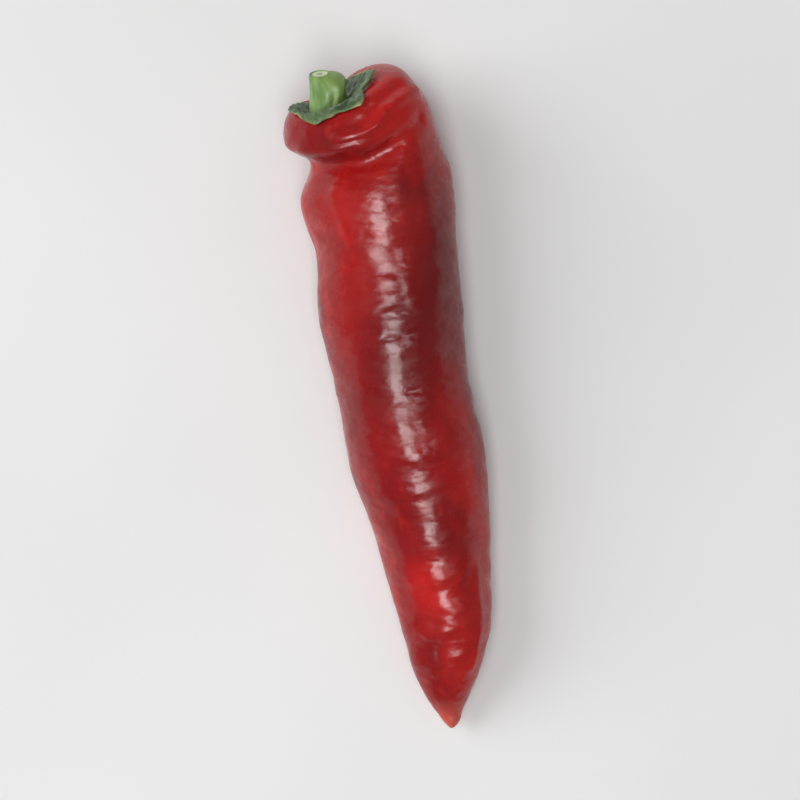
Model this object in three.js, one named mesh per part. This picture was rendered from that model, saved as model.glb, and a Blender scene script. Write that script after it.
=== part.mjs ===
// Sweet pointed pepper: one fruit as picked, lying on its side with its short stalk.
// Millimetres, +Z up. The long axis runs along Y, blossom tip at -Y and stalk end at +Y.
// Three closed bodies: the fruit, the five-pointed calyx on its seat, and the cut stalk.
import * as THREE from 'three';

// ---- Driving dimensions (mm and degrees) -----------------------------------------------
const GAP = 0.3;               // air left between pieces that touch on the real plant

// Cross-sections of the fruit, from the blossom tip to the seat of the stalk.
// along, across, height place the section's centre; halfWidth and halfHeight size it;
// lean turns it towards -X seen from above, nod tips it up towards +Z.
const SECTIONS = [
  // along  across height  halfW halfH lean nod
  [-103.2,   3.7,   6.4,   0.0,  0.0,   0,  0],   // tip of the nub
  [-101.6,   4.0,   6.3,   2.1,  2.0,   0,  0],
  [ -98.0,   3.8,   6.3,   3.9,  3.6,   0,  0],   // nub
  [ -94.5,   4.0,   7.2,   5.9,  5.4,   0,  0],
  [ -86.0,   5.1,   9.4,   9.9,  9.0,   0,  0],
  [ -74.0,   6.6,  11.5,  13.2, 11.7,   0,  0],
  [ -55.0,   6.0,  12.9,  15.8, 13.8,   0,  0],
  [ -38.0,   5.4,  14.5,  18.0, 15.6,   0,  0],
  [ -20.0,   3.7,  16.6,  20.6, 17.6,   0,  0],   // swell below the middle
  [   2.0,   2.2,  17.0,  20.0, 17.4,   0,  0],
  [  28.0,   1.8,  17.6,  21.8, 18.4,   0,  0],
  [  46.0,   2.8,  17.5,  21.5, 18.8,   0,  2],
  [  64.0,   2.2,  18.5,  23.0, 19.6,   2,  8],   // widest
  [  77.0,   2.7,  20.4,  20.0, 18.4,   8, 19],   // neck, under the rolled lip
  [  86.4,  -2.4,  23.4,  21.7, 19.6,  15, 23],   // rolled lip
  [  92.4,  -4.3,  25.8,  18.9, 16.8,  18, 26],   // shoulder
  [  93.6,  -6.6,  27.4,  13.8, 12.4,  18, 27],   // crest round the seat
  [  91.3,  -8.0,  28.0,  10.2,  9.4,  18, 27],
  [  89.4,  -8.5,  28.3,   6.6,  6.2,  18, 27],   // seat edge
  [  89.2,  -8.6,  28.4,   0.0,  0.0,  18, 27],   // seat centre
];
const NECK = 13, LIP = 14, SHOULDER = 15, CREST = 16;   // rows the folds are placed from

const LOBE_DEPTH = 0.055;      // share of the radius the three lobes stand out
const GROOVE = { depth: 2.4, halfLength: 3.2, centre: 122, spread: 54, climb: 6.0 };

// Soft swellings and dents. out pushes the skin outwards, up along the section's normal;
// row + shift places one along the skin, round and spread place it about the axis.
const FOLDS = [
  { out:  1.30, up: 0, row: LIP,      shift: -1.0, round: 112, length: 4.5, spread: 42 },
  { out: -0.55, up: 0, row: LIP,      shift: -0.6, round: 100, length: 1.0, spread: 17 },
  { out:  1.00, up: 0, row: NECK,     shift:  6.4, round:   0, length: 6.5, spread: 32 },
  { out: -3.00, up: 0, row: SHOULDER, shift:  1.0, round: 262, length: 7.0, spread: 34 },
  { out: -0.60, up: 0, row: LIP,      shift:  3.0, round: -20, length: 6.5, spread: 30 },
  { out: 0, up: -4.20, row: CREST,    shift: -1.0, round: 262, length: 8.0, spread: 36 },
  { out: 0, up:  0.60, row: SHOULDER, shift:  2.0, round: -25, length: 7.0, spread: 35 },
];

// Calyx: a star of five leafy points lying on the skin round the seat. Its outline runs from
// point to notch to point: direction about the fruit, reach along the skin from the seat's
// centre, and how far the edge curls off the skin there.
const CALYX_THICK = 1.0;
const CALYX_OUTLINE = [
  { round:  12, reach: 15.0, curl: 1.4 },   // point, curling up
  { round:  48, reach: 13.6, curl: 0.3 },
  { round:  78, reach: 19.2, curl: 0.3 },   // point
  { round: 102, reach: 18.0, curl: 0.1 },
  { round: 126, reach: 19.4, curl: 0.2 },   // point
  { round: 156, reach: 15.0, curl: 0.1 },
  { round: 186, reach: 15.6, curl: 0.4 },   // point
  { round: 228, reach: 11.6, curl: 0.2 },
  { round: 264, reach: 14.2, curl: 0.6 },   // point
  { round: 318, reach: 11.2, curl: 0.3 },
];

// Stalk: rows from just above the foot to the cut. rise is the distance up from the seat;
// across and back shift the centre in the seat's width and height directions.
const FOOT_RADIUS = 5.9;
const STALK_ROWS = [
  // rise across  back  radius
  [ 2.9,   0.6,  -0.2,   5.8],
  [ 4.6,   1.6,  -0.5,   6.0],
  [ 6.5,   2.3,  -0.7,   5.8],
  [ 8.5,   2.3,  -1.0,   4.9],
  [ 9.8,   2.1,  -1.2,   4.1],
  [10.6,   1.8,  -1.3,   3.4],
  [11.1,   1.7,  -1.4,   2.9],   // rim of the cut
];
const STALK_RIBS = 5, RIB_DEPTH = 0.06;
const CUT_DISH = 0.25;         // hollow of the cut face

// Facets along and round each body.
const FRUIT_GRID = [84, 48], CALYX_GRID = [8, 60], STALK_GRID = [14, 30];

// ---- Shape functions -------------------------------------------------------------------
const rad = THREE.MathUtils.degToRad;

// Distance along the skin at which each section sits.
const KNOTS = [0];
for (let i = 1; i < SECTIONS.length; i++) {
  const [a, b] = [SECTIONS[i - 1], SECTIONS[i]];
  KNOTS.push(KNOTS[i - 1] + Math.hypot(b[0] - a[0], b[3] - a[3]));
}
const END = KNOTS.at(-1);

// Smooth cubic through one column of the section table. A radius leaves each end steeply,
// every other column levels out there.
function column(c, t) {
  const v = SECTIONS.map((row) => row[c]), n = v.length;
  const step = (i) => KNOTS[i + 1] - KNOTS[i];
  const rise = (i) => (v[i + 1] - v[i]) / step(i);
  const isRadius = c === 3 || c === 4;
  const slope = (i) => {
    if (i === 0) return isRadius ? rise(0) * 1.3 : 0;
    if (i === n - 1) return isRadius ? rise(n - 2) : 0;
    return (rise(i - 1) * step(i) + rise(i) * step(i - 1)) / (step(i) + step(i - 1));
  };
  let i = 0;
  while (i < n - 2 && t >= KNOTS[i + 1]) i++;
  const u = (t - KNOTS[i]) / step(i), u2 = u * u, u3 = u2 * u;
  return (2 * u3 - 3 * u2 + 1) * v[i] + (u3 - 2 * u2 + u) * step(i) * slope(i)
       + (3 * u2 - 2 * u3) * v[i + 1] + (u3 - u2) * step(i) * slope(i + 1);
}

// Width, height and forward directions of a section turned by lean and nod.
function sectionAxes(lean, nod) {
  const a = rad(lean), b = rad(nod);
  return {
    wide: new THREE.Vector3(Math.cos(a), Math.sin(a), 0),
    tall: new THREE.Vector3(Math.sin(a) * Math.sin(b), -Math.cos(a) * Math.sin(b), Math.cos(b)),
    ahead: new THREE.Vector3(-Math.sin(a) * Math.cos(b), Math.cos(a) * Math.cos(b), Math.sin(b)),
  };
}

const fade = (y, from, over) => 1 / (1 + Math.exp((y - from) / over));
const hill = (d, width) => Math.exp(-((d / width) ** 2));
const turnBetween = (a, b) => THREE.MathUtils.euclideanModulo(a - b + 180, 360) - 180;

// Point of the fruit's skin at distance t from the tip and round degrees about the axis:
// 0 is +X, 90 the top, 180 is -X and 270 the side it lies on.
function skin(t, round) {
  const [y, x, z, w, h, lean, nod] = [0, 1, 2, 3, 4, 5, 6].map((c) => column(c, t));
  const { wide, tall, ahead } = sectionAxes(lean, nod);
  const body = fade(y, 78, 4) * (1 - fade(y, -92, 4));
  const crestLine = 90 + 6 * hill(y + 15, 35) - 34 * hill(y + 95, 28);
  let r = 1 + LOBE_DEPTH * body * Math.cos(3 * rad(round - crestLine));
  const d = THREE.MathUtils.euclideanModulo(round + 90, 360) - 90;
  const climb = THREE.MathUtils.smoothstep(92 - d, 0, 52) * GROOVE.climb;
  r -= GROOVE.depth / 20 * hill(t - KNOTS[NECK] - 0.3 - climb, GROOVE.halfLength)
     * Math.exp(-(((d - GROOVE.centre) / GROOVE.spread) ** 4));
  let up = 0;
  for (const f of FOLDS) {
    const share = hill(t - KNOTS[f.row] - f.shift, f.length)
                * hill(turnBetween(round, f.round), f.spread);
    r += f.out / 20 * share;
    up += f.up * share;
  }
  const p = new THREE.Vector3(x, y, z)
    .addScaledVector(wide, w * r * Math.cos(rad(round)))
    .addScaledVector(tall, h * r * Math.sin(rad(round)))
    .addScaledVector(ahead, up);
  p.z = Math.max(p.z, 0);      // flattened where it bears on the surface
  return p;
}

// Outward direction of the skin near the seat.
function skinNormal(t, round) {
  const s = Math.min(t, END - 1.5), e = 0.4;
  const along = skin(s + e, round).sub(skin(s - e, round));
  const about = skin(s, round + 4).sub(skin(s, round - 4));
  return along.cross(about).normalize();
}

const SEAT = SECTIONS.at(-1);
const SEAT_AXES = sectionAxes(SEAT[5], SEAT[6]);

// Reach and curl of the calyx in one direction, straight between the rows of its outline.
function calyxOutline(round) {
  const turn = THREE.MathUtils.euclideanModulo(round - CALYX_OUTLINE[0].round, 360);
  const from = (p) => THREE.MathUtils.euclideanModulo(p.round - CALYX_OUTLINE[0].round, 360);
  let i = CALYX_OUTLINE.length - 1;
  while (from(CALYX_OUTLINE[i]) > turn) i--;
  const a = CALYX_OUTLINE[i], b = CALYX_OUTLINE[i + 1] ?? { ...CALYX_OUTLINE[0], last: true };
  const f = (turn - from(a)) / ((b.last ? 360 : from(b)) - from(a));
  return {
    reach: THREE.MathUtils.lerp(a.reach, b.reach, f),
    curl: THREE.MathUtils.lerp(a.curl, b.curl, f),
  };
}

// Point of the calyx at a share of its reach, height mm above its underside.
function calyxPoint(share, round, height) {
  const { reach, curl } = calyxOutline(round);
  const t = END - share * reach;
  const crinkle = 0.15 * Math.sin(rad(round) * 15) * share * share;
  const lift = GAP + curl * share ** 3 + crinkle + 0.15 * share * share + height;
  return skin(t, round).addScaledVector(skinNormal(t, round), lift);
}

// Row of the stalk part way between two rows of its table.
function stalkRow(s) {
  const f = s * (STALK_ROWS.length - 1), i = Math.min(Math.floor(f), STALK_ROWS.length - 2);
  return STALK_ROWS[i].map((a, c) => THREE.MathUtils.lerp(a, STALK_ROWS[i + 1][c], f - i));
}

function stalkPoint(rise, across, back, radius, round) {
  const ribbed = radius * (1 + RIB_DEPTH * Math.cos(STALK_RIBS * rad(round - 56)));
  return new THREE.Vector3(SEAT[1], SEAT[0], SEAT[2])
    .addScaledVector(SEAT_AXES.ahead, rise)
    .addScaledVector(SEAT_AXES.wide, across + ribbed * Math.cos(rad(round)))
    .addScaledVector(SEAT_AXES.tall, back + ribbed * Math.sin(rad(round)));
}

// ---- Bodies ----------------------------------------------------------------------------
// Closed body from rows of points: the first and last rows are single points, the rows
// between are rings of cols points, counted so that the faces look outwards.
function body(name, colour, rows, cols, pointAt) {
  const points = [pointAt(0, 0)];
  for (let i = 1; i < rows; i++) {
    for (let j = 0; j < cols; j++) points.push(pointAt(i / rows, j * 360 / cols));
  }
  points.push(pointAt(1, 0));
  const faces = [], at = (i, j) => 1 + (i - 1) * cols + (j % cols), last = points.length - 1;
  for (let j = 0; j < cols; j++) {
    faces.push(0, at(1, j), at(1, j + 1));
    for (let i = 1; i < rows - 1; i++) {
      faces.push(at(i, j), at(i + 1, j), at(i + 1, j + 1));
      faces.push(at(i, j), at(i + 1, j + 1), at(i, j + 1));
    }
    faces.push(at(rows - 1, j), last, at(rows - 1, j + 1));
  }
  const geometry = new THREE.BufferGeometry().setFromPoints(points);
  geometry.setIndex(faces);
  geometry.computeVertexNormals();
  const material = new THREE.MeshStandardMaterial({ name: colour.name, color: colour.hex });
  material.roughness = colour.roughness;
  const mesh = new THREE.Mesh(geometry, material);
  mesh.name = name;
  return mesh;
}

// Rows are spent where the skin turns fast: at the nub and from the neck to the seat.
const ROW_SHARES = [[0, 0], [0.10, 12], [0.50, KNOTS[NECK] - 12], [1, END]];
function spacedRow(v) {
  let i = 0;
  while (v > ROW_SHARES[i + 1][0]) i++;
  const [a, b] = [ROW_SHARES[i], ROW_SHARES[i + 1]];
  return THREE.MathUtils.mapLinear(v, a[0], b[0], a[1], b[1]);
}
const fruit = body('fruit', { name: 'pepper_red', hex: 0xb8211f, roughness: 0.25 },
  ...FRUIT_GRID, (v, round) => skin(spacedRow(v), round));

// Underside from the middle out to the rim, then the upper side back to the middle.
const calyx = body('calyx', { name: 'calyx_green', hex: 0x3c6132, roughness: 0.6 },
  2 * CALYX_GRID[0] + 1, CALYX_GRID[1], (v, round) => {
    const row = Math.round(v * (2 * CALYX_GRID[0] + 1));
    return row <= CALYX_GRID[0]
      ? calyxPoint(row / CALYX_GRID[0], round, 0)
      : calyxPoint((2 * CALYX_GRID[0] + 1 - row) / CALYX_GRID[0], round, CALYX_THICK);
  });

// Foot following the calyx, flank, and dished cut face.
const FOOT_ROWS = 3, FACE_ROWS = 3;
const stalk = body('stalk', { name: 'stalk_green', hex: 0x6f9a4e, roughness: 0.5 },
  ...STALK_GRID, (v, round) => {
    const row = Math.round(v * STALK_GRID[0]), fromTop = STALK_GRID[0] - row;
    if (row <= FOOT_ROWS) {
      const share = FOOT_RADIUS * row / FOOT_ROWS / calyxOutline(round).reach;
      return calyxPoint(share, round, CALYX_THICK + GAP);
    }
    if (fromTop < FACE_ROWS) {
      const [rise, across, back, radius] = STALK_ROWS.at(-1), share = fromTop / FACE_ROWS;
      return stalkPoint(rise - CUT_DISH * (1 - share), across, back, radius * share, round);
    }
    const flank = (row - FOOT_ROWS - 1) / (STALK_GRID[0] - FACE_ROWS - FOOT_ROWS - 1);
    return stalkPoint(...stalkRow(flank), round);
  });

// ---- Assembly: centred over the origin, lying on z = 0 ----------------------------------
const group = new THREE.Group();
group.name = 'sweet_pointed_pepper';
group.add(fruit, calyx, stalk);
const box = new THREE.Box3().setFromObject(group);
const middle = box.getCenter(new THREE.Vector3());
for (const mesh of group.children) mesh.geometry.translate(-middle.x, -middle.y, -box.min.z);

export default group;
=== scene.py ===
"""Sweet pointed pepper: one fruit as picked, lying on its side with its calyx and short stalk.

Shapes are worked out in millimetres about the fruit's own axis, then set in metres where the
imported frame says. +Y runs from the blossom tip to the stalk end, +Z is up.
"""
import math

import bpy
import numpy as np
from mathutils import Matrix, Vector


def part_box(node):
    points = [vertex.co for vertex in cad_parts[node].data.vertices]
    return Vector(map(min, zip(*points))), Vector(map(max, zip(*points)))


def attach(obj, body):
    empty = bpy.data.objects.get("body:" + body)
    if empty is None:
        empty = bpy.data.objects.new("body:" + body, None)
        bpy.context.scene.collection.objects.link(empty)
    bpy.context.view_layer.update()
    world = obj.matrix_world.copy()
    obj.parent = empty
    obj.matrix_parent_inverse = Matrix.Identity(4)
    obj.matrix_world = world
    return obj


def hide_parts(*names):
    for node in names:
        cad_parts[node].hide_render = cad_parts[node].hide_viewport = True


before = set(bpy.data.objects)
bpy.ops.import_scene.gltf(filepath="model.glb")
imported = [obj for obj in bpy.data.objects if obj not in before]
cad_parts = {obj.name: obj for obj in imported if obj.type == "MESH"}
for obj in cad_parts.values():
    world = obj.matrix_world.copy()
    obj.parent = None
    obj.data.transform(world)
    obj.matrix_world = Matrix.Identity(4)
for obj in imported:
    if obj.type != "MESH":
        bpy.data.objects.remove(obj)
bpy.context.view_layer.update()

# ---- Camera -----------------------------------------------------------------------------
# A long lens straight above the fruit, turned a little about the vertical so that the
# stalk end leans to the left of the view.
LENS_MM = 150
FRAME_TURN = math.radians(-7.5)
FRUIT_SHARE = 0.86             # of the view's height that the fruit's length fills

low, high = (np.array(corner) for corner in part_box("fruit"))
middle = (low + high) / 2
seen_height = (high - low)[1] / FRUIT_SHARE
camera = bpy.data.objects.new("camera", bpy.data.cameras.new("camera"))
camera.data.lens = LENS_MM
camera.data.sensor_width = 36
camera.location = (middle[0], middle[1], high[2] + seen_height * LENS_MM / 36)
camera.rotation_euler = (0, 0, FRAME_TURN)
bpy.context.collection.objects.link(camera)
bpy.context.scene.camera = camera
bpy.context.scene.view_settings.view_transform = "Standard"


# ---- Fruit ------------------------------------------------------------------------------
# One fleshy hollow berry under a thin waxy skin, red all over. It swells below the middle,
# tapers to a nubbed tip, and rolls over at the stalk end into a lip with a groove under it.
SECTIONS = np.array([
    # along  across height  half width, half height, lean, nod   (mm and degrees)
    [-103.2,   3.7,   6.4,   0.0,  0.0,   0,  0],   # tip of the nub
    [-101.6,   4.0,   6.3,   2.1,  2.0,   0,  0],
    [ -98.0,   3.8,   6.3,   3.9,  3.6,   0,  0],   # nub
    [ -94.5,   4.0,   7.2,   5.9,  5.4,   0,  0],
    [ -86.0,   5.1,   9.4,   9.9,  9.0,   0,  0],
    [ -74.0,   6.6,  11.5,  13.2, 11.7,   0,  0],
    [ -55.0,   6.0,  12.9,  15.8, 13.8,   0,  0],
    [ -38.0,   5.4,  14.5,  18.0, 15.6,   0,  0],
    [ -20.0,   3.7,  16.6,  20.6, 17.6,   0,  0],   # swell below the middle
    [   2.0,   2.2,  17.0,  20.0, 17.4,   0,  0],
    [  28.0,   1.8,  17.6,  21.8, 18.4,   0,  0],
    [  46.0,   2.8,  17.5,  21.5, 18.8,   0,  2],
    [  64.0,   2.2,  18.5,  23.0, 19.6,   2,  8],   # widest
    [  77.0,   2.7,  20.4,  20.0, 18.4,   8, 19],   # neck, under the rolled lip
    [  86.4,  -2.4,  23.4,  21.7, 19.6,  15, 23],   # rolled lip
    [  92.4,  -4.3,  25.8,  18.9, 16.8,  18, 26],   # shoulder
    [  93.6,  -6.6,  27.4,  13.8, 12.4,  18, 27],   # crest round the seat
    [  91.3,  -8.0,  28.0,  10.2,  9.4,  18, 27],
    [  89.4,  -8.5,  28.3,   6.6,  6.2,  18, 27],   # seat edge
    [  89.2,  -8.6,  28.4,   0.0,  0.0,  18, 27],   # seat centre
])
KNOTS = np.append(0, np.cumsum(np.hypot(*np.diff(SECTIONS[:, [0, 3]], axis=0).T)))
NECK, LIP, SHOULDER, CREST, SEAT = KNOTS[[13, 14, 15, 16, 19]]
LOBE_DEPTH = 0.055
GROOVE_DEPTH, GROOVE_HALF_LENGTH, GROOVE_CLIMB = 2.4, 3.2, 6.0
GROOVE_CENTRE, GROOVE_SPREAD = 122, 54
FOLDS = [
    # out, up (mm), place along the skin, round, length (mm), spread (degrees)
    [1.30, 0.00, LIP - 1.0, 112, 4.5, 42],          # roll of the lip
    [-0.55, 0.00, LIP - 0.6, 100, 1.0, 17],         # crease in the roll
    [1.00, 0.00, NECK + 6.4, 0, 6.5, 32],
    [-3.00, 0.00, SHOULDER + 1.0, 262, 7.0, 34],    # low side, behind the stalk
    [-0.60, 0.00, LIP + 3.0, -20, 6.5, 30],
    [0.00, -4.20, CREST - 1.0, 262, 8.0, 36],
    [0.00, 0.60, SHOULDER + 2.0, -25, 7.0, 35],
]
CREASES = [
    # height, width (mm), then where the line runs: distance along the skin and direction
    [1.35, 1.6, [[196, 108], [194.6, 87], [195, 76], [197.5, 62], [197, 42], [195.5, 18]]],
    [0.60, 1.1, [[193.4, 114], [192.6, 96], [190.4, 90]]],
    [-1.10, 2.2, [[186, 92], [187.9, 71], [189.2, 52], [189.8, 34]]],
    [-1.00, 2.2, [[198, 86], [200.2, 70], [200.6, 56], [200.2, 34]]],
    [-0.35, 2.6, [[199, 150], [194, 158], [189, 166]]],
    [0.45, 2.6, [[176, 128], [166, 120], [152, 112]]],
    [-0.40, 3.0, [[178, 64], [160, 58], [138, 60]]],
    [0.40, 2.4, [[52, 40], [36, 46], [22, 52]]],
    [-0.35, 2.6, [[64, 118], [46, 112], [26, 108]]],
]
MM_PER_DEGREE = 0.33           # of the way about the fruit, for the creases' lines
# Maroon and vivid red patches where shade and light fall on the fruit: painted shade and painted
# light, partly the skin's own uneven tone.
SHADE_AND_LIGHT_PATCHES = [
    # darkness of painted shade, below 0 for painted light, place along the skin, direction, length
    # (mm), spread (degrees)
    [0.8, 120, 92, 28, 42],
    [0.8, 150, 34, 32, 34],
    [0.6, 100, 150, 20, 30],
    [0.6, 62, 64, 9, 34],
    [0.7, 28, 116, 13, 30],
    [0.5, 92, 10, 30, 26],
    [-0.8, 46, 108, 15, 34],
    [-0.8, 76, 42, 20, 30],
    [-0.9, 194, 50, 14, 46],
    [-0.4, 168, 110, 14, 50],
    [-0.5, 20, 70, 12, 40],
]
FRUIT_ROWS, FRUIT_COLUMNS = 440, 216


def smooth(values, places, where, steep=False):
    """Smooth cubic through values at their places. Its slope at a value is the mean of the
    steps on either side, each weighted by the other's length; the ends are level, or steep."""
    step = np.diff(places)
    rise = np.diff(values) / step
    slope = np.zeros(len(values))
    slope[1:-1] = (rise[:-1] * step[1:] + rise[1:] * step[:-1]) / (step[1:] + step[:-1])
    if steep:
        slope[0], slope[-1] = rise[0] * 1.3, rise[-1]
    i = np.clip(np.searchsorted(places, where, side="right") - 1, 0, len(step) - 1)
    u = (where - places[i]) / step[i]
    return ((2 * u**3 - 3 * u**2 + 1) * values[i] + (u**3 - 2 * u**2 + u) * step[i] * slope[i]
            + (3 * u**2 - 2 * u**3) * values[i + 1] + (u**3 - u**2) * step[i] * slope[i + 1])


def section_axes(lean, nod):
    """Width, height and forward directions of a section: the X, Z and Y axes tipped up by nod
    about X, then turned by lean about Z."""
    a, b = np.radians(lean), np.radians(nod)
    wide = np.stack([np.cos(a), np.sin(a), 0 * a], -1)
    tall = np.stack([np.sin(a) * np.sin(b), -np.cos(a) * np.sin(b), np.cos(b)], -1)
    ahead = np.stack([-np.sin(a) * np.cos(b), np.cos(a) * np.cos(b), np.sin(b)], -1)
    return wide, tall, ahead


def hill(distance, width):
    """Bell curve: 1 at no distance, falling to 1/e at one width."""
    return np.exp(-(distance / width) ** 2)


def turn_between(a, b):
    """Difference of two directions in degrees, between -180 and 180."""
    return (a - b + 180) % 360 - 180


def skin(t, turn):
    """Point of the smooth skin at distance t from the tip and turn degrees about the axis, 90
    at the top: an ellipse on the section's axes, its radius swollen by three lobes, cut by the
    groove under the lip and moved by each fold's bell curve; flat where it meets the floor."""
    y, x, z, w, h, lean, nod = (smooth(SECTIONS[:, c], KNOTS, t, c in (3, 4)) for c in range(7))
    wide, tall, ahead = section_axes(lean, nod)
    body = 1 / (1 + np.exp((y - 78) / 4)) / (1 + np.exp(-(y + 92) / 4))
    crest_line = 90 + 6 * hill(y + 15, 35) - 34 * hill(y + 95, 28)
    r = 1 + LOBE_DEPTH * body * np.cos(3 * np.radians(turn - crest_line))
    d = (turn + 90) % 360 - 90
    climb = np.clip((92 - d) / 52, 0, 1)
    climb = GROOVE_CLIMB * climb * climb * (3 - 2 * climb)
    r = r - (GROOVE_DEPTH / 20 * hill(t - NECK - 0.3 - climb, GROOVE_HALF_LENGTH)
             * np.exp(-((d - GROOVE_CENTRE) / GROOVE_SPREAD) ** 4))
    up = 0 * r
    for out, lift, along, about, length, spread in FOLDS:
        share = hill(t - along, length) * hill(turn_between(turn, about), spread)
        r = r + out / 20 * share
        up = up + lift * share
    angle = np.radians(turn)
    point = (np.stack([x, y, z], -1) + (w * r * np.cos(angle))[..., None] * wide
             + (h * r * np.sin(angle))[..., None] * tall + up[..., None] * ahead)
    point[..., 2] = np.maximum(point[..., 2], 0)
    return point


def skin_normal(t, turn):
    """Outward direction: the cross product of a short step along the skin and one about it,
    taken no nearer than 1.5 mm to the seat's centre or 0.6 mm to the tip."""
    s = np.clip(t, 0.6, SEAT - 1.5)
    along = skin(s + 0.4, turn) - skin(s - 0.4, turn)
    about = skin(s, turn + 3) - skin(s, turn - 3)
    normal = np.cross(along, about)
    return normal / np.linalg.norm(normal, axis=-1, keepdims=True)


def ripple(t, turn, seed, shortest, longest, most_turns, waves=40):
    """Uneven rippling of unit strength: the sum of cosine waves, each with its own length
    between shortest and longest mm, whole number of turns about the axis, and phase."""
    chance = np.random.default_rng(seed)
    total = 0 * (t + turn)
    for _ in range(waves):
        length = chance.uniform(shortest, longest)
        turns = chance.integers(-most_turns, most_turns + 1)
        total = total + np.cos(2 * np.pi * t / length + turns * np.radians(turn)
                               + chance.uniform(0, 2 * np.pi))
    return total / math.sqrt(waves / 2)


def creased(t, turn):
    """Height in mm of the long soft creases: a bell curve of the distance to each line, which
    is the least distance to any of its straight pieces."""
    total = 0 * (t + turn)
    for height, width, line in CREASES:
        apart = np.full(total.shape, 99.0)
        for (t0, turn0), (t1, turn1) in zip(line, line[1:]):
            run = np.array([t1 - t0, (turn1 - turn0) * MM_PER_DEGREE])
            here_t, here_turn = t - t0, turn_between(turn, turn0) * MM_PER_DEGREE
            way = np.clip((here_t * run[0] + here_turn * run[1]) / (run @ run), 0, 1)
            apart = np.minimum(apart, np.hypot(here_t - way * run[0], here_turn - way * run[1]))
        total = total + height * hill(apart, width)
    return total


def skin_relief(t, turn):
    """Height of the skin's fine relief in mm: the creases, broad dents, transverse undulations,
    and fine cross wrinkles that come and go in patches. It fades at the nub and the seat."""
    calm = 1 / (1 + np.exp(-(t - 14) / 3)) / (1 + np.exp((t - SHOULDER - 1.2) / 0.9))
    patches = 0.55 + 0.45 * np.clip(ripple(t, turn, 5, 18, 60, 4), 0, 1.6)
    patches = patches * (0.35 + 0.65 * hill(turn_between(turn, 82), 62))
    return calm * (creased(t, turn) + 0.13 * ripple(t, turn, 1, 26, 70, 4)
                   + 0.20 * ripple(t, turn, 2, 8, 15, 5) * patches
                   + 0.045 * ripple(t, turn, 3, 3, 6, 14) * patches)


def painted_shade_and_light(t, turn):
    """Painted shade and painted light, from -1 for vivid red painted light to 1 for maroon painted
    shade: the sum of the patches' bell curves."""
    return sum(depth * hill(t - along, length) * hill(turn_between(turn, about), spread)
               for depth, along, about, length, spread in SHADE_AND_LIGHT_PATCHES)


def grid(rows, columns):
    """Row shares from 0 to 1 down the first side and turns in degrees along the second."""
    return np.meshgrid(np.linspace(0, 1, rows), np.arange(columns) * 360 / columns, indexing="ij")


# The smooth skin's own box, carried over the middle of the frame's fruit.
share, turn = grid(500, 240)
outline = skin(share * SEAT, turn)[..., :2].reshape(-1, 2)
settle = np.array([*(middle[:2] * 1000 - (outline.min(0) + outline.max(0)) / 2), 0])


def rings_to_piece(name, rings, **extras):
    """Closed mesh object from rings of points in mm, an array of rows by columns by 3, whose
    first and last rows are each one point repeated. Named extras are kept on the points."""
    rows, columns = rings.shape[:2]
    rings = (rings + settle) / 1000
    points = np.concatenate([rings[0, :1], rings[1:-1].reshape(-1, 3), rings[-1, :1]])
    at = 1 + np.arange((rows - 2) * columns).reshape(rows - 2, columns)
    beside = np.roll(at, -1, axis=1)
    sides = np.stack([at[:-1], at[1:], beside[1:], beside[:-1]], -1).reshape(-1, 4)
    first = np.stack([0 * at[0], at[0], beside[0]], -1)
    last = np.stack([at[-1], 0 * at[-1] + len(points) - 1, beside[-1]], -1)
    mesh = bpy.data.meshes.new(name)
    mesh.from_pydata(points.tolist(), [], first.tolist() + sides.tolist() + last.tolist())
    mesh.polygons.foreach_set("use_smooth", np.ones(len(mesh.polygons), bool))
    for key, values in extras.items():
        flat = np.concatenate([values[0, :1], values[1:-1].reshape(-1), values[-1, :1]])
        mesh.attributes.new(key, "FLOAT", "POINT").data.foreach_set("value", flat)
    mesh.update()
    piece = bpy.data.objects.new(name, mesh)
    bpy.context.collection.objects.link(piece)
    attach(piece, "root")
    return piece


def shade(red, green, blue):
    """Linear colour of a screen colour given as three numbers up to 255."""
    c = np.array([red, green, blue]) / 255
    return [*np.where(c <= 0.04045, c / 12.92, ((c + 0.055) / 1.055) ** 2.4), 1]


def finish(name, **constants):
    """New material whose shader has these constants set. Returns its node tree and shader."""
    material = bpy.data.materials.new(name)
    material.use_nodes = True
    shader = material.node_tree.nodes["Principled BSDF"]
    for key, value in constants.items():
        shader.inputs[key.replace("_", " ")].default_value = value
    return material, material.node_tree, shader


def join(tree, value, socket):
    """Puts value, a number, a colour or another node's output, on the socket."""
    if isinstance(value, bpy.types.NodeSocket):
        tree.links.new(value, socket)
    else:
        socket.default_value = value


def cloud(tree, scale, detail=4, stretch=(1, 1, 1), where=None):
    """Uneven cloud pattern, scale per metre, on the object's own coordinates."""
    if where is None:
        where = tree.nodes.new("ShaderNodeTexCoord").outputs["Object"]
    mapping = tree.nodes.new("ShaderNodeMapping")
    mapping.inputs["Scale"].default_value = stretch
    noise = tree.nodes.new("ShaderNodeTexNoise")
    noise.inputs["Scale"].default_value = scale
    noise.inputs["Detail"].default_value = detail
    tree.links.new(where, mapping.inputs["Vector"])
    tree.links.new(mapping.outputs["Vector"], noise.inputs["Vector"])
    return noise.outputs["Fac"]


def span(tree, value, start, end, low_result=0.0, high_result=1.0):
    """Value carried smoothly from start..end to low_result..high_result, and held there."""
    carry = tree.nodes.new("ShaderNodeMapRange")
    carry.interpolation_type = "SMOOTHSTEP"
    for key, number in zip(("From Min", "From Max", "To Min", "To Max"),
                           (start, end, low_result, high_result)):
        carry.inputs[key].default_value = number
    tree.links.new(value, carry.inputs["Value"])
    return carry.outputs["Result"]


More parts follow.
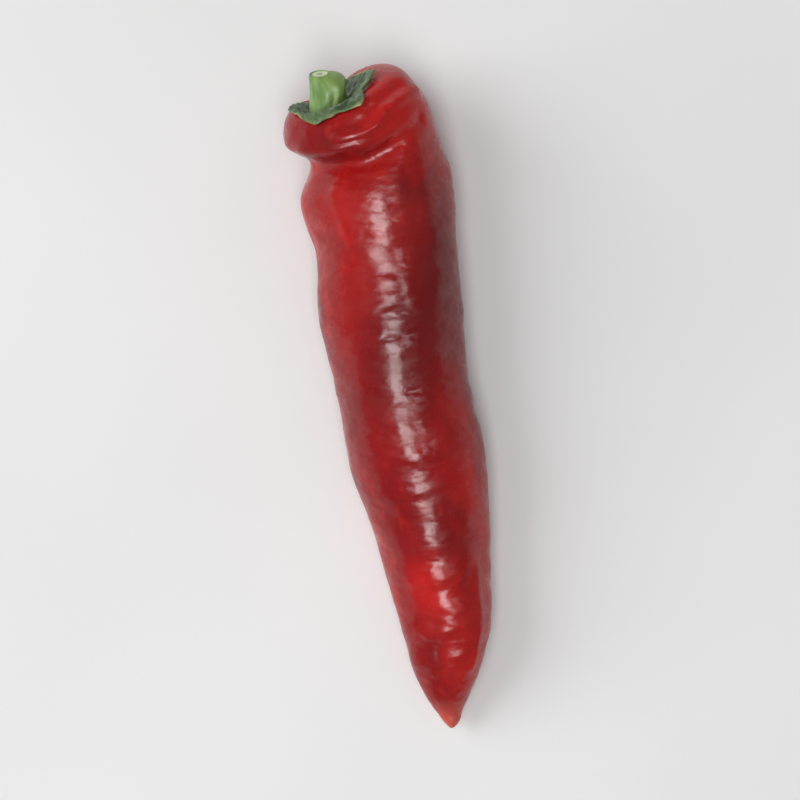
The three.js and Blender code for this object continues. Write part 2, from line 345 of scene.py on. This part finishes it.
def blend(tree, share_of_second, first_colour, second_colour):
    """Colour between two, each a colour or another node's output."""
    mix = tree.nodes.new("ShaderNodeMix")
    mix.data_type = "RGBA"
    join(tree, share_of_second, mix.inputs[0])
    join(tree, first_colour, mix.inputs[6])
    join(tree, second_colour, mix.inputs[7])
    return mix.outputs[2]


def kept(tree, name):
    """Value kept on the mesh's points under this name."""
    attribute = tree.nodes.new("ShaderNodeAttribute")
    attribute.attribute_name = name
    return attribute.outputs["Fac"]


def emboss(tree, height, depth, under=None):
    """Bump of height, 0 to 1, standing depth metres, on top of another bump if given."""
    bump = tree.nodes.new("ShaderNodeBump")
    bump.inputs["Distance"].default_value = depth
    tree.links.new(height, bump.inputs["Height"])
    if under is not None:
        tree.links.new(under, bump.inputs["Normal"])
    return bump.outputs["Normal"]


def pepper_skin():
    """Glossy wax over dark red flesh: broad paler and darker clouds drawn out along the fruit,
    small mottling, maroon patches of painted shade and vivid red patches of painted light in their
    places, partly the skin's own tone, a pale flush at the nub, and dimples and fine cross wrinkles
    that break up the gloss."""
    material, tree, shader = finish(
        "pepper_skin", IOR=1.34, Coat_Weight=0.22, Coat_Roughness=0.13, Coat_IOR=1.40,
        Subsurface_Weight=0.06, Subsurface_Radius=(0.004, 0.0012, 0.0008), Subsurface_Scale=1.0)
    broad = span(tree, cloud(tree, 26, 3, (1, 0.45, 1)), 0.34, 0.66)
    colour = blend(tree, broad, shade(130, 14, 19), shade(176, 26, 25))
    mottle = span(tree, cloud(tree, 230, 5, (1, 0.5, 1)), 0.48, 0.72, 0, 0.35)
    colour = blend(tree, mottle, colour, shade(206, 42, 34))
    dark = span(tree, cloud(tree, 70, 4), 0.56, 0.74, 0, 0.5)
    colour = blend(tree, dark, colour, shade(94, 8, 13))
    # Painted shade as maroon and painted light as vivid red, from the patches kept on the points.
    deep = span(tree, kept(tree, "deep"), 0.0, 0.9, 0, 0.8)
    colour = blend(tree, deep, colour, shade(96, 9, 15))
    painted_light = span(tree, kept(tree, "deep"), 0.0, -0.9, 0, 0.8)
    colour = blend(tree, painted_light, colour, shade(194, 30, 27))
    nub = span(tree, kept(tree, "along"), 13, 2)
    colour = blend(tree, nub, colour, shade(200, 88, 74))
    join(tree, colour, shader.inputs["Base Color"])
    join(tree, span(tree, cloud(tree, 140, 4), 0.3, 0.7, 0.24, 0.40), shader.inputs["Roughness"])
    dimples = emboss(tree, cloud(tree, 80, 2, (1, 1.8, 1)), 0.0013)
    wrinkles = emboss(tree, cloud(tree, 240, 3, (1, 1.8, 1)), 0.00021, dimples)
    grain = emboss(tree, cloud(tree, 1100, 2), 0.00002, wrinkles)
    join(tree, grain, shader.inputs["Normal"])
    return material


share, turn = grid(FRUIT_ROWS, FRUIT_COLUMNS)
along = SEAT * (share + 0.02 * np.sin(2 * np.pi * share) / np.pi)
points = skin(along, turn) + skin_normal(along, turn) * skin_relief(along, turn)[..., None]
points[..., 2] = np.maximum(points[..., 2], 0)
# Kept on the points: the distance along the skin, and the patches of painted shade and painted
# light.
fruit = rings_to_piece("fruit_skin", points, along=along, deep=painted_shade_and_light(along, turn))
fruit.data.materials.append(pepper_skin())
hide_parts("fruit")


# ---- Calyx ------------------------------------------------------------------------------
# The green leafy star left from the flower: five blunt points lying on the skin round the
# seat, thin at the rim, creased along the ribs, one point curling up. It grows on the fruit.
CALYX_GAP, CALYX_THICK = 0.15, 1.1
CALYX_OUTLINE = np.array([
    # direction, reach along the skin, curl off it   (degrees and mm)
    [12, 15.2, 1.4],    # point, curling up
    [48, 13.6, 0.3],
    [78, 19.3, 0.3],    # point
    [102, 18.0, 0.1],
    [126, 19.6, 0.2],   # point
    [156, 15.0, 0.1],
    [186, 15.8, 0.4],   # point
    [228, 11.6, 0.2],
    [264, 14.4, 0.6],   # point
    [318, 11.2, 0.3],
])
CALYX_RIBS = CALYX_OUTLINE[::2, 0]
CALYX_ROWS, CALYX_COLUMNS = 44, 360


def calyx_outline(turn):
    """Reach and curl in one direction, straight from row to row, with an uneven cut edge."""
    reach, curl = (np.interp(turn, CALYX_OUTLINE[:, 0], CALYX_OUTLINE[:, c], period=360)
                   for c in (1, 2))
    return reach + 0.10 * ripple(0 * turn, turn, 11, 1, 2, 26), curl


def calyx_relief(share, turn, reach):
    """Height of the leaf's relief in mm and the strength of its ribs: a rounded rib out to each
    point, slanting side veins off it, puckers near the rim, and a dip round the stalk's foot."""
    out = share * reach
    aside = np.stack([np.where(np.abs(turn_between(turn, rib)) < 60,
                               out * np.sin(np.radians(turn_between(turn, rib))), 99)
                      for rib in CALYX_RIBS])
    aside = np.abs(aside).min(0)
    rib = hill(aside, 0.75) * np.clip(1.1 - share, 0, 1) ** 0.5
    wander = 1.4 * ripple(out, turn, 12, 9, 20, 4, 12)
    veins = np.cos(2 * np.pi * (out - 0.8 * aside) / 2.3 + wander)
    pucker = ripple(out, turn, 13, 4, 9, 11)
    height = (0.42 * rib + 0.11 * veins * share * (1 - rib) + 0.13 * pucker * share
              - 0.40 * hill(out - 7.6, 1.1))
    return height, rib


def calyx_point(share, turn, upper):
    """Point on the leaf's underside, or on its upper side where upper is 1: the fruit's skin at
    that share of the reach, lifted by the gap, the curl, the relief and the leaf's thickness,
    which thins towards the rim."""
    reach, curl = calyx_outline(turn)
    along = SEAT - share * reach
    height, rib = calyx_relief(share, turn, reach)
    thick = CALYX_THICK - 0.6 * share ** 3
    lift = CALYX_GAP + curl * share ** 3 + 0.35 * share ** 6 + upper * (thick + height)
    return skin(along, turn) + skin_normal(along, turn) * lift[..., None], rib


def calyx_leaf():
    """Leathery dark green in broad clouds, pale grey painted sheen in small random clouds, lighter
    green along the ribs, and a thin dry yellow-brown rim."""
    material, tree, shader = finish(
        "calyx_leaf", Specular_IOR_Level=0.5, Sheen_Weight=0.15, Sheen_Roughness=0.4)
    broad = span(tree, cloud(tree, 170, 4), 0.35, 0.65)
    colour = blend(tree, broad, shade(46, 66, 40), shade(82, 106, 66))
    # Pale grey in small clouds: painted sheen.
    painted_sheen = span(tree, cloud(tree, 420, 5, (1, 1, 1)), 0.46, 0.70, 0, 0.6)
    colour = blend(tree, painted_sheen, colour, shade(142, 156, 136))
    ribs = span(tree, kept(tree, "rib"), 0.1, 0.9, 0, 0.5)
    colour = blend(tree, ribs, colour, shade(96, 122, 78))
    dry = span(tree, cloud(tree, 130, 2), 0.42, 0.60, 0.0, 0.9)
    dried = blend(tree, dry, shade(92, 120, 68), shade(170, 158, 102))
    colour = blend(tree, span(tree, kept(tree, "rim"), 0.93, 1.0), colour, dried)
    join(tree, colour, shader.inputs["Base Color"])
    join(tree, span(tree, cloud(tree, 300, 3), 0.3, 0.7, 0.36, 0.60), shader.inputs["Roughness"])
    join(tree, emboss(tree, cloud(tree, 900, 4), 0.00018), shader.inputs["Normal"])
    return material


share, turn = grid(CALYX_ROWS, CALYX_COLUMNS)
under, under_rib = calyx_point(share, turn, 0)
over, over_rib = calyx_point(share[::-1], turn, 1)
calyx = rings_to_piece("calyx_star", np.concatenate([under, over]),
                       rib=np.concatenate([0 * under_rib, over_rib]),
                       rim=np.concatenate([share, share[::-1]]))
calyx.data.materials.append(calyx_leaf())
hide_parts("calyx")


# ---- Stalk ------------------------------------------------------------------------------
# The stub of the fruit's stem: pale green and fleshy, five blunt ribs flaring into its foot,
# leaning over as it rises, and cut across with a knife. It grows out of the calyx.
FOOT_RADIUS = 6.3
STALK_ROWS = np.array([
    # rise, across, back, radius   (mm, from the seat's centre along its own directions)
    [1.2, 0.3, 0.0, 6.3],
    [2.9, 0.6, -0.2, 5.8],
    [4.6, 1.6, -0.5, 6.0],
    [6.5, 2.3, -0.7, 5.8],
    [8.5, 2.3, -1.0, 4.9],
    [9.8, 2.1, -1.2, 4.1],
    [10.6, 1.8, -1.3, 3.4],
    [11.1, 1.7, -1.4, 2.9],    # rim of the cut
])
STALK_FROM = STALK_ROWS[0, 0]
STALK_RIBS, RIB_DEPTH = 5, 0.055
CUT_DISH, CUT_SLOPE = 0.35, 0.32
FOOT_GRID, FLANK_GRID, FACE_GRID, STALK_COLUMNS = 6, 90, 26, 180
seat_axes = section_axes(*SECTIONS[-1, 5:7])
seat_centre = SECTIONS[-1, [1, 0, 2]]


def stalk_ring(rise, turn):
    """Point of the stalk's flank at this rise: a circle about the leaning centre line, its
    radius swollen by five ribs that fade towards the cut, with fine grooves between; near the
    top the rows tip over to lie along the slanting cut."""
    across, back, radius = (smooth(STALK_ROWS[:, c], STALK_ROWS[:, 0], rise) for c in (1, 2, 3))
    fade = np.clip((11.6 - rise) / 8, 0, 1)
    ribs = RIB_DEPTH * fade * np.cos(np.radians(STALK_RIBS * (turn - 56) + 5 * rise))
    grooves = 0.010 * ripple(rise, turn, 21, 12, 40, 16)
    slant = CUT_SLOPE * np.clip((rise - 7) / 4, 0, 1) ** 2 * radius * np.cos(np.radians(turn))
    return stalk_place(rise - slant, across, back, radius * (1 + ribs + grooves), turn)


def stalk_place(rise, across, back, radius, turn):
    """Point at this rise and radius, set out on the seat's own three directions."""
    wide, tall, ahead = seat_axes
    angle = np.radians(turn)
    return (seat_centre + rise[..., None] * ahead
            + (across + radius * np.cos(angle))[..., None] * wide
            + (back + radius * np.sin(angle))[..., None] * tall)


def stalk_flesh():
    """Fresh green with paler streaks running up it, painted light as a lighter, more yellow green
    on one side, and painted shade as darker green at its foot; the cut shows a green rim, a pale
    wet ring and a darker pith."""
    material, tree, shader = finish(
        "stalk_flesh", Specular_IOR_Level=0.5, Subsurface_Weight=0.12,
        Subsurface_Radius=(0.001, 0.0022, 0.0007), Subsurface_Scale=1.0)
    streaks = span(tree, cloud(tree, 300, 4, (1, 0.22, 0.5)), 0.36, 0.64)
    colour = blend(tree, streaks, shade(94, 128, 70), shade(138, 168, 102))
    # Lighter, more yellow green on the side facing up and to the right: painted light.
    stalk_painted_light = span(tree, kept(tree, "side"), -0.2, 0.9, 0, 0.6)
    colour = blend(tree, stalk_painted_light, colour, shade(140, 170, 84))
    # Darker green low on the stalk, where it sinks into the calyx: painted shade.
    foot = span(tree, kept(tree, "rise"), 4.0, 1.6, 0, 0.6)
    colour = blend(tree, foot, colour, shade(66, 98, 54))
    ring = span(tree, kept(tree, "ring"), 0.86, 0.66)
    pith = span(tree, kept(tree, "ring"), 0.42, 0.22, 0, 0.75)
    uneven = span(tree, cloud(tree, 900, 3), 0.35, 0.65, 0.55, 1.0)
    pale = blend(tree, uneven, shade(176, 200, 134), shade(232, 238, 206))
    cut = blend(tree, pith, pale, shade(132, 158, 92))
    colour = blend(tree, ring, colour, cut)
    join(tree, colour, shader.inputs["Base Color"])
    join(tree, span(tree, cloud(tree, 400, 3), 0.3, 0.7, 0.38, 0.55), shader.inputs["Roughness"])
    join(tree, emboss(tree, cloud(tree, 500, 4, (1, 0.3, 0.6)), 0.00012), shader.inputs["Normal"])
    return material


share, turn = grid(FOOT_GRID, STALK_COLUMNS)
reach, _ = calyx_outline(turn)
foot, _ = calyx_point(share * FOOT_RADIUS / reach, turn, 0.9)
share, turn = grid(FLANK_GRID, STALK_COLUMNS)
rim = STALK_ROWS[-1]
rise = STALK_FROM + (rim[0] - STALK_FROM) * share
settled = np.clip((rise - STALK_FROM) / 2.0, 0, 1)[..., None]
settled = settled * settled * (3 - 2 * settled)
flank = settled * stalk_ring(rise, turn) + (1 - settled) * foot[-1]
face_share, turn = grid(FACE_GRID, STALK_COLUMNS)
inward = 1 - face_share
dish = (CUT_DISH * (1 - inward ** 2) + 0.07 * np.cos(9 * inward)
        + 0.05 * ripple(6 * inward, turn, 22, 2, 6, 3) * inward)
slant = CUT_SLOPE * inward * rim[3] * np.cos(np.radians(turn))
face = stalk_place(rim[0] - slant - dish * (1 - inward ** 8), rim[1], rim[2], inward * rim[3], turn)
face = inward[..., None] ** 6 * (flank[-1] - face[0]) + face
rings = np.concatenate([foot[:-1], flank, face[1:]])
rings[-1] = rings[-1].mean(0)
flank_starts = FOOT_GRID - 1
face_starts = flank_starts + FLANK_GRID
rise_kept, ring_kept = np.full(rings.shape[:2], STALK_FROM), np.ones(rings.shape[:2])
rise_kept[flank_starts:face_starts] = rise
rise_kept[face_starts:] = rim[0]
ring_kept[face_starts:] = inward[1:]
# Which way each point faces about the stalk, for the painted light on one side.
lit_side = np.broadcast_to(np.cos(np.radians(turn[:1] - 40)), rings.shape[:2])
stalk = rings_to_piece("stalk_stub", rings, rise=rise_kept, ring=ring_kept, side=lit_side)
stalk.data.materials.append(stalk_flesh())
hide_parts("stalk")


# ---- Floor and light --------------------------------------------------------------------
# A plain pale sheet to lie on, a soft box overhead and a broad one to the left, and an even
# white surround. Two lamps for the gloss alone draw it along the crest and the right side.
floor_mesh = bpy.data.meshes.new("floor")
floor_mesh.from_pydata([(-3, -3, 0), (3, -3, 0), (3, 3, 0), (-3, 3, 0)], [], [(0, 1, 2, 3)])
floor = bpy.data.objects.new("floor", floor_mesh)
bpy.context.collection.objects.link(floor)
paper, tree, shader = finish("floor_paper", Roughness=0.9)
uneven = span(tree, cloud(tree, 6, 2), 0.3, 0.7)
tone = blend(tree, uneven, shade(234, 234, 234), shade(239, 239, 239))
join(tree, tone, shader.inputs["Base Color"])
floor_mesh.materials.append(paper)


def soft_box(name, place, aim, width, length, watts, glossy=True, diffuse=True):
    """Rectangular lamp at place, facing aim, that can be kept out of the gloss or used for
    the gloss alone."""
    lamp = bpy.data.lights.new(name, "AREA")
    lamp.shape, lamp.size, lamp.size_y, lamp.energy = "RECTANGLE", width, length, watts
    box = bpy.data.objects.new(name, lamp)
    box.location = place
    away = np.array(place, float) - aim
    box.rotation_euler = (math.acos(away[2] / np.linalg.norm(away)), 0,
                          math.atan2(away[0], -away[1]))
    box.visible_glossy = glossy
    box.visible_diffuse = diffuse
    bpy.context.collection.objects.link(box)


soft_box("overhead", (-0.08, -0.30, 1.3), (-0.08, -0.30, 0), 0.52, 1.00, 8)
soft_box("gleam", (-0.08, -0.30, 1.31), (-0.08, -0.30, 0), 0.52, 1.00, 15, diffuse=False)
soft_box("glint", (0.55, 0.16, 1.1), (0, 0.05, 0), 0.16, 0.30, 1.8, diffuse=False)
soft_box("left", (-1.5, 0.5, 1.1), middle, 1.5, 1.5, 24, glossy=False)
world = bpy.data.worlds.new("studio")
world.use_nodes = True
world.node_tree.nodes["Background"].inputs["Color"].default_value = (1, 1, 1, 1)
world.node_tree.nodes["Background"].inputs["Strength"].default_value = 0.22
bpy.context.scene.world = world
